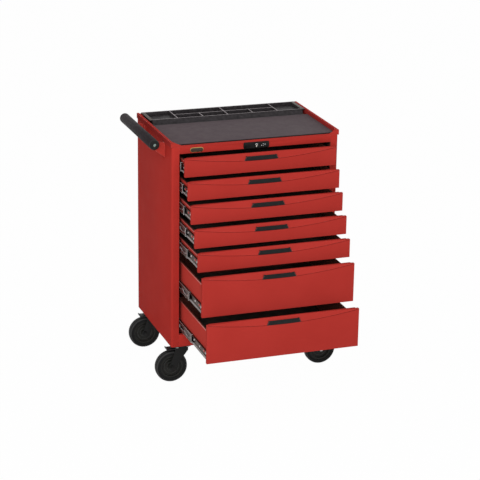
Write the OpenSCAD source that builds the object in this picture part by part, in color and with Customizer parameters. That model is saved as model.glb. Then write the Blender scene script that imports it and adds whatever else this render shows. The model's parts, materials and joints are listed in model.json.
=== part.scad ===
// Rolling tool chest: a sheet steel cabinet with seven drawers on ball slides, a worktop with an organiser
// tray, a central lock, a push handle and four casters. Millimetres, +Z up.
// The sizes below are written in cabinet coordinates: X from the cabinet's middle, Y from its front face
// backwards, Z from the floor. place() then moves every piece so that the origin is on the floor, under the
// middle of the whole part as it stands with its drawers part open.

/* [Cabinet] */
// Outer width across the side panels
body_w = 677; // [600:1:760]
// Outer depth from front face to back face
body_d = 465; // [455:1:520]
// Thickness of the cabinet's sheet steel
sheet_t = 1.2; // [1:0.1:1.6]
// Width of each stile beside the drawers
stile_w = 30.5; // [28:0.5:36]
// Outer radius of the cabinet's front vertical corners
corner_r = 8; // [4:0.5:12]
// Height of the rail under the drawers
bottom_rail_h = 50; // [40:1:70]
// Height of the fascia above the drawers, up to the worktop's front lip
fascia_h = 33.5; // [33:0.5:44]
// Depth of the folded returns round the front opening
return_d = 16; // [10:1:18]
// Width of the flange that the worktop pan sits on
seat_w = 15; // [10:1:20]
// Thickness of the base pan
base_t = 1.5; // [1.2:0.1:2.5]

/* [Worktop] */
// How far the side rims rise above the front lip
rim_rise = 13; // [10:0.5:18]
// Width of the top of each side rim
rim_w = 9; // [7:0.5:12]
// How far the rims overhang the side panels
rim_over = 3.5; // [2.5:0.5:6]
// Height of the rims' outer skirts
skirt_h = 20; // [16:1:26]
// Plan radius of the pan's front inside corners
pan_corner_r = 34; // [20:1:45]
// Thickness of the worktop mat
mat_t = 3; // [2:0.5:5]
// Depth of the mat's upper face below the front lip
mat_drop = 2; // [0.5:0.5:3]
// Gap round the mat
mat_gap = 1; // [0.5:0.5:3]
// Distance from the mat's front edge to the front lip
mat_front = 15; // [2:1:20]

/* [Organiser tray] */
// Gap between each end of the organiser tray and the side rim beside it, with the tray in the middle
tray_gap = 6; // [4:1:30]
// How far the tray lies to the right of the middle
tray_shift = 3; // [0:0.5:3.5]
// Depth of the tray from its upper front edge to the cabinet's back face
tray_d = 125; // [100:1:160]
// How far the tray's front wall leans forward at the bottom
tray_lean = 10; // [2:1:14]
// Depth of the thin foot in front of the tray's front wall, which the mat butts against
tray_lip_d = 16; // [8:1:24]
// Thickness of that foot
tray_lip_t = 1.5; // [1:0.5:2.5]
// Width of the flange outside each end wall of the tray
tray_flange = 10; // [4:1:14]
// Height of the tray's rim above the side rims
tray_up = 0.5; // [0:0.5:3]
// Thickness of the tray's walls and dividers
tray_t = 4; // [2:0.5:5]
// Width of each end compartment
end_cell_w = 100; // [80:1:130]
// Depth of the small compartments behind the tray's front wall
front_cell_d = 52; // [40:1:70]

/* [Drawers] */
// Height of a shallow drawer's front
shallow_h = 72; // [68:1:86]
// Height of a deep drawer's front
deep_h = 154; // [136:1:176]
// Gap between one drawer front and the next
front_gap = 8.5; // [4:0.5:10]
// Gap above the top drawer front
top_gap = 3; // [2:0.5:6]
// Gap under the lowest drawer front
bottom_gap = 14; // [5:1:18]
// Gap between a drawer front and the stile beside it
side_gap = 2; // [1.5:0.5:4]
// Thickness of a folded drawer front
front_d = 18; // [17:0.5:22]
// Depth of a drawer front at its two ends, outside the slides' space
end_d = 12; // [8:0.5:16]
// Thickness of the drawers' sheet steel
drawer_t = 1; // [0.8:0.1:1.4]
// Space left beside each drawer box for its slide
slide_space = 13; // [12.5:0.1:14]
// Height of a box's floor above the lower edge of its front
box_lift = 8; // [6:0.5:10]
// Depth of a shallow box's side edges below the upper edge of its front
box_drop = 17; // [14:0.5:20]
// Depth of a deep box's side edges below the upper edge of its front
deep_drop = 34; // [20:1:50]
// Width of the folded edge along a box's sides
side_hem = 5; // [3:0.5:8]
// How much lower than its sides a box's rear wall is
rear_drop = 12; // [11:0.5:16]
// Space behind the closed drawers for the lock bar
rear_space = 30; // [28:1:40]

/* [Drawer grips] */
// Height of the curved strip that leans back behind the grip
smile_h = 25.5; // [22:0.5:30]
// How far the strip leans back at its middle
smile_d = 13; // [10:0.5:14]
// Width of the grip along its lower edge
pull_w = 139; // [110:1:170]
// How much each end of the grip slants inwards
pull_slant = 8; // [4:1:14]
// Height of the grip
pull_h = 16; // [14:1:20]
// Thickness of the grip
pull_t = 3.5; // [3:0.5:4.5]
// How far the grip stands proud of the drawer front
pull_proud = 1.5; // [0.5:0.5:2]

/* [Drawer slides] */
// Distance from the slides' rear ends to the back panel
slide_rear = 39.8; // [36:0.2:70]
// Height of a slide
slide_h = 38; // [34:0.5:40]
// Thickness of the slides' steel
slide_t = 1.2; // [1:0.1:1.4]
// Running clearance that stands for the rows of balls
slide_run = 0.35; // [0.3:0.05:0.6]
// Clearance between the webs of two slide members
web_gap = 1.2; // [0.8:0.1:1.4]
// Height of a slide's centre line above the lower edge of the drawer front
slide_up = 27; // [25:0.5:30]
// Gap between a closed drawer front and its slides
slide_start = 6; // [4:1:10]
// Distance from each end of the slides to the post that carries it
post_in = 6; // [4:1:20]
// Width of the slotted posts that carry the slides
post_w = 30; // [20:1:40]
// Thickness of the posts' steel
post_t = 1.5; // [1.2:0.1:2]

/* [Drawer positions] */
// How far drawer 1, the top one, stands open
open_1 = 63; // [0:1:340]
// How far drawer 2 stands open
open_2 = 105; // [0:1:340]
// How far drawer 3 stands open
open_3 = 145; // [0:1:340]
// How far drawer 4 stands open
open_4 = 190; // [0:1:340]
// How far drawer 5 stands open
open_5 = 231; // [0:1:340]
// How far drawer 6 stands open
open_6 = 282; // [0:1:340]
// How far drawer 7, the lowest one, stands open
open_7 = 343; // [0:1:345]

/* [Lock] */
// Width of the lock's cover plate
lock_plate_w = 104; // [80:1:130]
// Height of the lock's cover plate
lock_plate_h = 25; // [23:0.5:26]
// Thickness of the lock's cover plate
lock_plate_t = 2.5; // [2:0.5:4]
// Radius of the key plug
plug_r = 6; // [5:0.5:7]
// Radial clearance of the key plug in its barrel
plug_fit = 0.05; // [0.02:0.01:0.1]
// Wall of the lock barrel
barrel_t = 3; // [2:0.5:4]
// Length of the lock barrel behind the fascia
barrel_len = 22; // [14:1:30]
// Radius of the rod from the lock to the back of the cabinet
rod_r = 3; // [2.5:0.5:4]
// Radius of the crank pin's circle
crank_r = 5.6; // [5:0.1:6]
// Radius of the crank pin
crank_pin_r = 2.5; // [2:0.25:3]
// Width of the lock bar
bar_w = 26; // [24:1:32]
// Thickness of the lock bar
bar_t = 3; // [2:0.5:4]
// Distance from a closed drawer's rear wall to the lock bar
bar_gap = 12; // [10:0.5:13]
// Height of the hooks' downward lips
hook_lip = 7; // [6:0.5:8]
// Length of the lock bar below the rear wall of the lowest drawer
bar_foot = 20; // [12:1:30]
// Running clearance round the lock bar
bar_fit = 0.4; // [0.3:0.1:0.8]

/* [Push handle] */
// Outer radius of the handle tube
handle_r = 20; // [15:0.5:22]
// Wall of the handle tube
handle_wall = 2; // [1.5:0.5:3]
// Length of the handle over its end caps
handle_len = 423; // [380:1:450]
// Distance from the side panel to the handle's centre line
handle_reach = 60.5; // [50:0.5:80]
// Depth of the handle's centre line below the rim
handle_below = 10.5; // [4:0.5:24]
// Distance between the two handle brackets
bracket_span = 289; // [240:1:330]
// Thickness of the handle brackets
bracket_t = 3; // [2:0.5:4]
// Height of a bracket where it meets the side panel
bracket_h = 57; // [45:1:75]
// Width of a bracket's flange on the side panel
flange_w = 20; // [15:1:30]
// Thickness of the handle's end caps
cap_t = 7; // [5:0.5:10]

/* [Casters] */
// Radius of the wheels over the tyres
wheel_r = 64.5; // [58:0.5:66]
// Width of the tyres
wheel_w = 32; // [26:1:36]
// Radius of the hubs
hub_r = 48; // [40:0.5:50]
// Radius of the axle bolts
axle_r = 4; // [4:0.5:5]
// Radial clearance of the hubs on their axle bolts
axle_fit = 0.08; // [0.04:0.01:0.1]
// Gap between a brake shoe and its tyre
shoe_gap = 4.7; // [4:0.1:7]
// Gap between a hub's boss and each leg of its fork
leg_gap = 0.5; // [0.4:0.1:1]
// Height of the full-width head of each fork leg
leg_head = 14; // [8:1:20]
// Length that a hub's boss stands out of the tyre on each side
boss_out = 2.5; // [1.5:0.5:4]
// Thickness of the caster forks' steel
leg_t = 3; // [2.5:0.5:4]
// Size of a caster's mounting plate across the cabinet
plate_x = 62; // [60:1:66]
// Size of a caster's mounting plate along the cabinet's depth
plate_y = 84; // [80:1:96]
// Thickness of a caster's mounting plate
plate_t = 3; // [2.5:0.5:5]
// Spacing of the caster bolts across the cabinet
bolt_x = 44; // [42:1:46]
// Spacing of the caster bolts along the cabinet's depth
bolt_y = 66; // [64:1:68]
// Radius of the caster bolts
bolt_r = 4; // [3:0.5:4]
// Horizontal distance from a swivel pivot to its wheel's axle
trail = 38; // [34:1:44]
// Distance from the left side panel to the swivel pivots
pivot_in = 49; // [46:1:60]
// Distance from the right side panel to the rigid wheels' axles
rigid_in = 34; // [34:1:60]
// Distance from the cabinet's front and back to each caster's middle
caster_in = 44; // [44:1:60]
// Radius of the swivel bearing
race_r = 27; // [25:0.5:28]
// Height of the swivel bearing
race_h = 9; // [8:0.5:10]
// Vertical gap between a fixed and a turning part of a caster
swivel_gap = 0.3; // [0.2:0.05:0.5]
// Radius of the kingpins
king_r = 6; // [5:0.5:7]
// Length of a brake pedal from its hinge to its tip
pedal_len = 37; // [34:1:55]

/* [Hidden] */
$fn = 64;
ROWS = ["front", "rear"];
SIDES = ["left", "right"];
eps = 0.01;
cut = 1;                       // how far a cutter runs past the face it cuts

// Casters, from the floor up to the base pan that they carry
pedal_pin_r = 2.5;
pedal_eye_r = pedal_pin_r + 2;
shoe_t = 4;
king_head_t = 4;
bolt_fit = 0.3;                                  // radial clearance round the caster bolts
pedal_z = 2 * wheel_r + shoe_gap + shoe_t;       // the pedal's hinge
crown_z = pedal_z + pedal_eye_r + 1.5 + leg_t;   // upper face of a swivel fork's crown
race_z = crown_z + swivel_gap;
king_z = crown_z - leg_t - swivel_gap - king_head_t;
caster_h = race_z + race_h + plate_t;
leg_y = wheel_w / 2 + boss_out + leg_gap;        // inner face of each fork leg
pedal_x = -race_r + 5;                           // the pedal's hinge, from the swivel pivot

// Colours
RED = [0.70, 0.12, 0.11];
DARK = [0.12, 0.12, 0.13];
ZINC = [0.66, 0.67, 0.68];
BLACK = [0.06, 0.06, 0.07];

// Cabinet
half_w = body_w / 2;
open_hw = half_w - stile_w;
front_h = [for (n = [0:6]) n < 5 ? shallow_h : deep_h];
function above(n) = n == 0 ? 0 : above(n - 1) + front_h[n - 1] + front_gap;
open_z0 = caster_h + bottom_rail_h;
open_z1 = open_z0 + bottom_gap + above(6) + front_h[6] + top_gap;
lip_z = open_z1 + fascia_h;
rim_z = lip_z + rim_rise;
inner_d = body_d - sheet_t;    // front face to the back panel

// Worktop
pan_z = lip_z - mat_drop - mat_t - sheet_t;
floor_z = pan_z + sheet_t;
rim_out = half_w + rim_over;
rim_in = rim_out - rim_w;
tray_y = body_d - tray_d;
tray_z = rim_z + tray_up;
tray_foot_y = tray_y - tray_lean;
tray_hook_t = tray_t - 0.5;
tray_hw = rim_in - tray_gap;
tray_wall_hw = tray_hw - tray_flange;

// Drawers
open_at_rest = [open_1, open_2, open_3, open_4, open_5, open_6, open_7];
front_hw = open_hw - side_gap;
box_hw = open_hw - slide_space;
box_end_y = inner_d - rear_space;
function front_top(n) = open_z1 - top_gap - above(n);
function front_low(n) = front_top(n) - front_h[n];
function box_low(n) = front_low(n) + box_lift;
function box_top(n) = front_top(n) - (n < 5 ? box_drop : deep_drop);
function rear_top(n) = box_top(n) - rear_drop;
smile_tilt = atan(smile_d / smile_h);
smile_sag = smile_h * sin(smile_tilt);
smile_r = (pow(front_hw, 2) + pow(smile_sag, 2)) / (2 * smile_sag);
// The grip's back follows the strip at this distance, which clears the strip's curve at the grip's ends
grip_off = smile_d * pow(pull_w / 2 / front_hw, 2) + 0.05;
function strip_y(z) = z * smile_d / smile_h - grip_off;
function strip_z(y) = (y + grip_off) * smile_h / smile_d;

// Slides
slide_y = front_d + slide_start;
slide_len = inner_d - slide_rear - slide_y;
lip_gap = 3.5;                                   // between the cabinet rails' lips and a drawer's box
slide_in = slide_t + slide_run;                  // from one member's outside to the next one's
mid_h = slide_h - 2 * slide_in;
inner_h = mid_h - 2 * slide_in;
mid_x = open_hw - slide_t - web_gap;             // outer face of the middle member's web
outer_reach = box_hw + lip_gap;
mid_reach = box_hw + slide_t + web_gap;
inner_reach = mid_x - slide_t - web_gap;
function slide_z(n) = front_low(n) + slide_up;
post_y = [slide_y + post_in, slide_y + slide_len - post_in - post_w];

// Lock
lock_z = open_z1 + lock_plate_h / 2 + 0.5;
bezel_t = 1;                                     // rim of the barrel in front of the cover plate
barrel_r = plug_r + barrel_t;
bar_y = box_end_y + bar_gap;
crank_drop = crank_r * sin(45);
crank_t = 3;
key_slot_w = 1.6;
key_slot_h = 7.2;
key_slot_d = 6;
lock_travel = 2 * crank_drop;
hook_t = 2;

// Handle
handle_x = -half_w - handle_reach;
handle_y = body_d / 2;
handle_z = rim_z - handle_below;
tube_len = handle_len - 2 * cap_t;
cap_plug_len = 12;
cap_screw_r = 2.5;
cap_head_r = 6;
bracket_z = rim_z - skirt_h - 2;                 // top of the brackets, under the rim's skirt

// Caster places
pivot_x = -half_w + pivot_in;
rigid_x = half_w - rigid_in;
caster_ys = [caster_in, body_d - caster_in];

// Extent of the whole part, which sets the origin
left_x = max(-handle_x + handle_r, -pivot_x + trail + wheel_r);
right_x = max(rim_out, rigid_x + wheel_r);
front_y = max(open_at_rest) + pull_proud;
mid_of_part = [(right_x - left_x) / 2, (body_d - front_y) / 2, 0];

module place() translate(-mid_of_part) children();

// Both the piece and its mirror image on the cabinet's left side
module both_sides() {
    children();
    mirror([1, 0, 0]) children();
}

// A block from one corner to the other
module block(low, high) translate(low) cube(high - low);

// A Y-Z outline extruded from x0 to x1
module along_x(x0, x1) translate([x0, 0, 0]) rotate([90, 0, 90]) linear_extrude(x1 - x0) children();

// A rectangle with rounded corners, centred
module round_rect(w, h, r) {
    square([w - 2 * r, h], center = true);
    square([w, h - 2 * r], center = true);
    for (x = [-1, 1], y = [-1, 1])
        translate([x * (w / 2 - r), y * (h / 2 - r)]) circle(r);
}

// ---- Cabinet ----

// The right side panel, its rounded front corner, stile and seat flange
module side_panel() {
    translate([0, 0, caster_h]) linear_extrude(pan_z - caster_h) {
        translate([half_w - sheet_t, corner_r]) square([sheet_t, body_d - corner_r]);
        translate([open_hw, 0]) square([stile_w - corner_r, sheet_t]);
        translate([half_w - corner_r, corner_r]) intersection() {
            difference() {
                circle(corner_r);
                circle(corner_r - sheet_t);
            }
            translate([0, -corner_r]) square(corner_r);
        }
    }
    // the return beside the opening and the flange under the worktop
    block([open_hw, 0, open_z0], [open_hw + sheet_t, return_d, open_z1]);
    block([half_w - seat_w, return_d, pan_z - sheet_t], [half_w - sheet_t + eps, inner_d, pan_z]);
}

module right_side_panel() color(RED) place() side_panel();
module left_side_panel() color(RED) place() mirror([1, 0, 0]) side_panel();

// The back panel, with the two guides that the lock bar runs in
module back_panel() color(RED) place() {
    block([-half_w + sheet_t, inner_d, caster_h], [half_w - sheet_t, body_d, pan_z]);
    for (n = [1, 5]) translate([0, 0, (rear_top(n) + rear_top(n + 1)) / 2]) difference() {
        block([-bar_w / 2 - 4, bar_y - 3, -6], [bar_w / 2 + 4, inner_d + eps, 6]);
        block([-bar_w / 2 - bar_fit, bar_y - bar_fit, -7], [bar_w / 2 + bar_fit, bar_y + bar_t + bar_fit, 7]);
    }
}

// The base pan: the floor of the cabinet and the rail under the drawers, with the caster bolt holes
module base_pan() color(RED) place() {
    difference() {
        block([-half_w + sheet_t, 0, caster_h], [half_w - sheet_t, inner_d, caster_h + base_t]);
        both_sides() {
            block([open_hw, -cut, caster_h - cut], [half_w, sheet_t, caster_h + base_t + cut]);
            block([half_w - corner_r, -cut, caster_h - cut], [half_w, corner_r, caster_h + base_t + cut]);
        }
        caster_bolt_places() translate([0, 0, caster_h - cut])
            cylinder(r = bolt_r + bolt_fit, h = base_t + 2 * cut);
    }
    block([-open_hw, 0, caster_h], [open_hw, sheet_t, open_z0]);
    block([-open_hw, 0, open_z0 - sheet_t], [open_hw, return_d, open_z0]);
}

module top_fascia() color(RED) place() difference() {
    union() {
        block([-open_hw, 0, open_z1], [open_hw, sheet_t, pan_z]);
        block([-open_hw, 0, open_z1], [open_hw, return_d, open_z1 + sheet_t]);
    }
    translate([0, -cut, lock_z]) rotate([-90, 0, 0]) cylinder(r = barrel_r + 0.1, h = return_d);
}

// One of the rims along the worktop's sides: an inverted channel with a closed front end
module side_rim() {
    translate([0, body_d, 0]) rotate([90, 0, 0]) linear_extrude(body_d) {
        translate([rim_out - sheet_t, rim_z - skirt_h]) square([sheet_t, skirt_h]);
        translate([rim_in, rim_z - sheet_t]) square([rim_w, sheet_t]);
        translate([rim_in, pan_z]) square([sheet_t, rim_z - pan_z]);
    }
    for (y = [0, inner_d]) block([rim_in, y, pan_z], [rim_out, y + sheet_t, rim_z]);
    rim_corner();
}

// The corner between a rim and the front lip, rounded in plan and falling to the lip
module rim_corner() {
    x1 = rim_in + sheet_t / 2;
    x0 = rim_in - pan_corner_r;
    intersection() {
        translate([0, pan_corner_r, 0]) rotate([90, 0, 0]) linear_extrude(pan_corner_r)
            polygon([[x1, pan_z], [x1, rim_z], [rim_in, rim_z], [x0, lip_z], [x0, pan_z]]);
        linear_extrude(rim_z) polygon(concat([[x1, 0], [x1, pan_corner_r]],
            [for (a = [0:7.5:90]) [x0 + pan_corner_r * cos(a), pan_corner_r * (1 - sin(a))]]));
    }
}

module worktop_pan() color(RED) place() {
    both_sides() side_rim();
    block([-rim_in - eps, 0, pan_z], [rim_in + eps, body_d, floor_z]);
    block([-rim_in, 0, pan_z], [rim_in, sheet_t, lip_z]);
    block([-rim_in, inner_d, pan_z], [rim_in, body_d, tray_z - tray_hook_t - 0.2]);
}

// The four slotted posts that carry the slides
module slide_posts() color(DARK) place() both_sides() for (y = post_y) difference() {
    block([open_hw, y, open_z0], [half_w - sheet_t, y + post_w, pan_z - sheet_t]);
    block([open_hw + post_t, y + post_t, open_z0 - cut], [half_w, y + post_w - post_t, pan_z]);
    for (n = [0:6]) translate([open_hw - cut, y + post_w / 2, slide_z(n)])
        for (z = [-1, 1]) translate([0, 0, z * slide_h / 4]) rotate([0, 90, 0])
            cylinder(r = 2.2, h = post_t + 2 * cut);
}

module worktop_mat() color([0.22, 0.20, 0.21]) place() {
    w = rim_in - mat_gap;
    r = pan_corner_r - mat_gap;
    y0 = sheet_t + mat_front;
    translate([0, 0, floor_z]) linear_extrude(mat_t) {
        translate([-w + r, y0]) square([2 * (w - r), r + eps]);
        translate([-w, y0 + r]) square([2 * w, tray_foot_y - tray_lip_d - mat_gap / 2 - y0 - r]);
        for (s = [-1, 1]) translate([s * (w - r), y0 + r]) intersection() {
            circle(r);
            translate([-r, -r]) square([2 * r, r + eps]);
        }
    }
}

// One compartment of the tray, cut from x0 to x1 and y0 to y1
module tray_cell(x0, x1, y0, y1) block([x0, y0, floor_z + tray_t], [x1, y1, tray_z + cut]);

module organiser_tray() color(DARK) place() translate([tray_shift, 0, 0]) {
    back = inner_d - 0.3;
    cell_y = tray_y + tray_t;
    cross_y = cell_y + front_cell_d;
    end_x = tray_wall_hw - tray_t - end_cell_w;
    mid = tray_t / 2;
    quarter_x = (end_x - tray_t + mid) / 2;
    difference() {
        union() {
            along_x(-tray_wall_hw, tray_wall_hw)
                polygon([[tray_foot_y, floor_z], [tray_y, tray_z], [back, tray_z], [back, floor_z]]);
            block([-tray_hw, tray_y, tray_z - tray_hook_t], [tray_hw, back, tray_z]);
        }
        both_sides() {
            tray_cell(end_x, tray_wall_hw - tray_t, cell_y, back - tray_t);
            tray_cell(mid, end_x - tray_t, cross_y + tray_t, back - tray_t);
            tray_cell(mid, quarter_x - mid, cell_y, cross_y);
            tray_cell(quarter_x + mid, end_x - tray_t, cell_y, cross_y);
        }
    }
    // the edge that hooks over the worktop's rear wall, and the foot in front
    block([-tray_hw, back - eps, tray_z - tray_hook_t], [tray_hw, body_d, tray_z]);
    block([-tray_wall_hw, tray_foot_y - tray_lip_d, floor_z],
          [tray_wall_hw, tray_foot_y + tray_t, floor_z + tray_lip_t]);
}

// ---- Drawers and slides ----

// The region in front of the curved strip of drawer front n
module smile_cutter(n, grow) translate([0, 0, front_top(n) - smile_h])
    translate(smile_r * [0, -cos(smile_tilt), sin(smile_tilt)]) rotate([-smile_tilt, 0, 0])
        cylinder(r = smile_r + grow, h = 4 * smile_h, center = true, $fn = 1440);

module front_outline(n) difference() {
    block([-front_hw, 0, front_low(n)], [front_hw, front_d, front_top(n)]);
    smile_cutter(n, 0);
    end_steps(n, 0);
}

// Cuts the rear corners off a front, outside the box's sides
module end_steps(n, out) both_sides()
    block([box_hw - out, end_d - out, front_low(n) - cut], [open_hw, front_d + cut, front_top(n) + cut]);

// A folded front with its curved strip and an inner panel. It is hollow and open underneath.
module drawer_front(n) difference() {
    front_outline(n);
    difference() {
        block([-front_hw + drawer_t, drawer_t, front_low(n) - cut],
              [front_hw - drawer_t, front_d - drawer_t, front_top(n) - drawer_t]);
        smile_cutter(n, drawer_t);
        end_steps(n, drawer_t);
    }
}

module drawer_box(n) difference() {
    block([-box_hw, front_d - drawer_t / 2, box_low(n)], [box_hw, box_end_y, box_top(n)]);
    block([-box_hw + drawer_t, front_d - drawer_t, box_low(n) + drawer_t],
          [box_hw - drawer_t, box_end_y - drawer_t, box_top(n) - drawer_t]);
    block([-box_hw + side_hem, front_d - drawer_t, box_top(n) - 2 * drawer_t],
          [box_hw - side_hem, box_end_y + cut, box_top(n) + cut]);
    block([-box_hw - cut, box_end_y - side_hem, rear_top(n)],
          [box_hw + cut, box_end_y + cut, box_top(n) + cut]);
}

module drawer(n) color(RED) place() translate([0, -open_at_rest[n], 0]) {
    drawer_front(n);
    drawer_box(n);
}

// The grip: a slanted-ended bar that stands in front of the strip, with a cheek near each end
module drawer_grip(n) color(BLACK) place() translate([0, -open_at_rest[n], front_top(n) - smile_h]) {
    w = pull_w / 2;
    back = pull_t - pull_proud;
    intersection() {
        translate([0, front_d, 0]) rotate([90, 0, 0]) linear_extrude(2 * front_d)
            polygon([[-w, -1], [w, -1], [w - pull_slant, pull_h], [-w + pull_slant, pull_h]]);
        union() {
            along_x(-w, w) polygon([[-pull_proud, -1], [0, -1], [0, strip_z(0)], [back, strip_z(back)],
                                    [back, pull_h], [-pull_proud, pull_h]]);
            both_sides() along_x(w - pull_slant - 3, w - pull_slant)
                polygon([[0, strip_z(0)], [strip_y(pull_h), pull_h], [0, pull_h]]);
        }
    }
}

// A slide member on the right side: a channel of height h, with its web at x_web and its lips at x_lips
module channel(n, x_web, x_lips, h) translate([0, slide_y, slide_z(n)]) {
    x0 = min(x_web, x_lips);
    x1 = max(x_web, x_lips);
    inside = x_web > x_lips ? [x0 - cut, x1 - slide_t] : [x0 + slide_t, x1 + cut];
    difference() {
        block([x0, 0, -h / 2], [x1, slide_len, h / 2]);
        block([inside[0], -cut, slide_t - h / 2], [inside[1], slide_len + cut, h / 2 - slide_t]);
    }
}

module cabinet_rails() color(ZINC) place() both_sides()
    for (n = [0:6]) channel(n, open_hw, outer_reach, slide_h);

module middle_rails(n) color(ZINC) place() translate([0, -open_at_rest[n] / 2, 0]) both_sides()
    channel(n, mid_x, mid_reach, mid_h);

module drawer_rails(n) color(ZINC) place() translate([0, -open_at_rest[n], 0]) both_sides()
    channel(n, box_hw, inner_reach, inner_h);

// ---- Lock ----

module lock_plate() color(BLACK) place() translate([0, 0, lock_z]) rotate([90, 0, 0]) difference() {
    linear_extrude(lock_plate_t) round_rect(lock_plate_w, lock_plate_h, 5);
    translate([0, 0, -cut]) cylinder(r = barrel_r + 0.1, h = lock_plate_t + 2 * cut);
}

module lock_barrel() color(ZINC) place() translate([0, 0, lock_z]) rotate([-90, 0, 0]) difference() {
    union() {
        translate([0, 0, -lock_plate_t - bezel_t])
            cylinder(r = barrel_r, h = lock_plate_t + bezel_t + barrel_len);
        translate([0, 0, -lock_plate_t - bezel_t]) cylinder(r = barrel_r + 1, h = bezel_t);
    }
    translate([0, 0, -lock_plate_t - bezel_t - cut])
        cylinder(r = plug_r + plug_fit, h = lock_plate_t + bezel_t + barrel_len + 2 * cut);
}

// The key plug, its rod to the back of the cabinet and the crank that lifts the lock bar
module lock_plug() color(ZINC) place() translate([0, 0, lock_z]) rotate([-90, 0, 0]) {
    face = -lock_plate_t - bezel_t - 0.5;
    crank_z = bar_y - crank_t - 1;
    difference() {
        translate([0, 0, face]) cylinder(r = plug_r, h = barrel_len - face + 2);
        translate([0, 0, face - cut]) linear_extrude(key_slot_d + cut)
            square([key_slot_w, key_slot_h], center = true);
    }
    translate([0, 0, barrel_len]) cylinder(r = rod_r, h = crank_z - barrel_len + eps);
    translate([0, 0, crank_z]) cylinder(r = crank_r + crank_pin_r + 1, h = crank_t);
    translate([-crank_drop, -crank_drop, crank_z + crank_t - eps]) cylinder(r = crank_pin_r, h = bar_t + 1);
}

// The lock bar: a hook over the rear wall of each closed drawer, and a slot for the crank pin
module lock_bar() color(ZINC) place() {
    slot_h = 2 * crank_pin_r + 1;
    slot_x0 = -crank_r - crank_pin_r - 0.5;
    slot_x1 = -crank_drop + crank_pin_r + 0.5;
    slot_z = lock_z + crank_drop;
    difference() {
        block([-bar_w / 2, bar_y, rear_top(6) - bar_foot], [bar_w / 2, bar_y + bar_t, slot_z + slot_h]);
        block([slot_x0, bar_y - cut, slot_z - slot_h / 2],
              [slot_x1, bar_y + bar_t + cut, slot_z + slot_h / 2]);
    }
    for (n = [0:6]) {
        lip_z0 = rear_top(n) + lock_travel - hook_lip + 1;
        lip_y = box_end_y - drawer_t - 5;
        block([-bar_w / 2, lip_y, lip_z0 + hook_lip], [bar_w / 2, bar_y + eps, lip_z0 + hook_lip + hook_t]);
        block([-bar_w / 2, lip_y, lip_z0], [bar_w / 2, lip_y + hook_t, lip_z0 + hook_lip + eps]);
    }
}

// ---- Push handle ----

module along_handle() translate([handle_x, handle_y, handle_z]) rotate([90, 0, 0]) children();

// Two gusset brackets, each welded to the tube and screwed flat to the side panel
module handle_brackets() color(RED) place() for (s = [-1, 1])
    translate([0, handle_y + s * bracket_span / 2, 0]) difference() {
        union() {
            translate([0, bracket_t / 2, 0]) rotate([90, 0, 0]) linear_extrude(bracket_t) polygon([
                [-half_w, bracket_z - bracket_h], [-half_w, bracket_z],
                [handle_x + handle_r / 2, handle_z - 2], [handle_x - handle_r / 3, handle_z - handle_r]]);
            block([-half_w - bracket_t, min(0, -s * flange_w), bracket_z - bracket_h],
                  [-half_w, max(0, -s * flange_w), bracket_z]);
        }
        translate([handle_x, cut + flange_w, handle_z]) rotate([90, 0, 0])
            cylinder(r = handle_r, h = 2 * (flange_w + cut));
    }

module handle_tube() color(BLACK) place() along_handle() difference() {
    cylinder(r = handle_r, h = tube_len, center = true);
    cylinder(r = handle_r - handle_wall, h = tube_len + 2 * cut, center = true);
}

// One end cap: a plug in the tube and a rounded cover with a screw hole
module end_cap() rotate_extrude() {
    hole_r = cap_screw_r + 0.1;
    round_r = cap_t - 1;
    translate([hole_r, -cap_plug_len]) square([handle_r - handle_wall - 0.1 - hole_r, cap_plug_len]);
    translate([hole_r, 0]) square([handle_r - round_r - hole_r, cap_t]);
    translate([hole_r, 0]) square([handle_r - hole_r, cap_t - round_r]);
    translate([handle_r - round_r, cap_t - round_r]) intersection() {
        circle(round_r);
        square(round_r);
    }
}

module handle_end_caps() color(BLACK) place() along_handle() for (s = [0, 1]) mirror([0, 0, s])
    translate([0, 0, tube_len / 2]) end_cap();

// ---- Fasteners ----

// Children at each of the 16 caster bolts, in plan
module caster_bolt_places() for (x = [pivot_x, rigid_x], y = caster_ys, sx = [-1, 1], sy = [-1, 1])
    translate([x + sx * bolt_x / 2, y + sy * bolt_y / 2, 0]) children();

module bolts_and_screws() color(ZINC) place() {
    hex_r = bolt_r * 1.8;
    caster_bolt_places() {
        translate([0, 0, caster_h - plate_t - bolt_r]) cylinder(r = hex_r, h = bolt_r, $fn = 6);
        translate([0, 0, caster_h - plate_t - eps]) cylinder(r = bolt_r, h = plate_t + base_t + bolt_r + 3);
        translate([0, 0, caster_h + base_t]) cylinder(r = hex_r, h = bolt_r, $fn = 6);
    }
    along_handle() for (s = [0, 1]) mirror([0, 0, s]) translate([0, 0, tube_len / 2]) {
        translate([0, 0, 2 - cap_plug_len]) cylinder(r = cap_screw_r, h = cap_plug_len - 2 + cap_t);
        translate([0, 0, cap_t]) cylinder(r = cap_head_r, h = 1.2);
        translate([0, 0, cap_t + 1.2 - eps]) cylinder(r1 = cap_head_r, r2 = cap_head_r * 0.6, h = 1.5);
    }
    for (y = caster_ys) translate([rigid_x, y, wheel_r]) axle_bolt();
}

// An axle bolt along Y: a hexagon head, a shank and a nut, outside both legs of the fork
module axle_bolt() rotate([90, 0, 0]) {
    out = leg_y + leg_t + 0.2;
    head_t = axle_r * 1.1;
    cylinder(r = axle_r, h = 2 * (out + head_t + 1.5), center = true);
    for (s = [0, 1]) mirror([0, 0, s]) translate([0, 0, out]) cylinder(r = axle_r * 2, h = head_t, $fn = 6);
}

// ---- Casters ----

// A mounting plate with its bolt holes, centred on a caster
module caster_plate() difference() {
    block([-plate_x / 2, -plate_y / 2, caster_h - plate_t], [plate_x / 2, plate_y / 2, caster_h]);
    for (x = [-1, 1], y = [-1, 1]) translate([x * bolt_x / 2, y * bolt_y / 2, caster_h - plate_t - cut])
        cylinder(r = bolt_r + bolt_fit, h = plate_t + 2 * cut);
}

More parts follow.
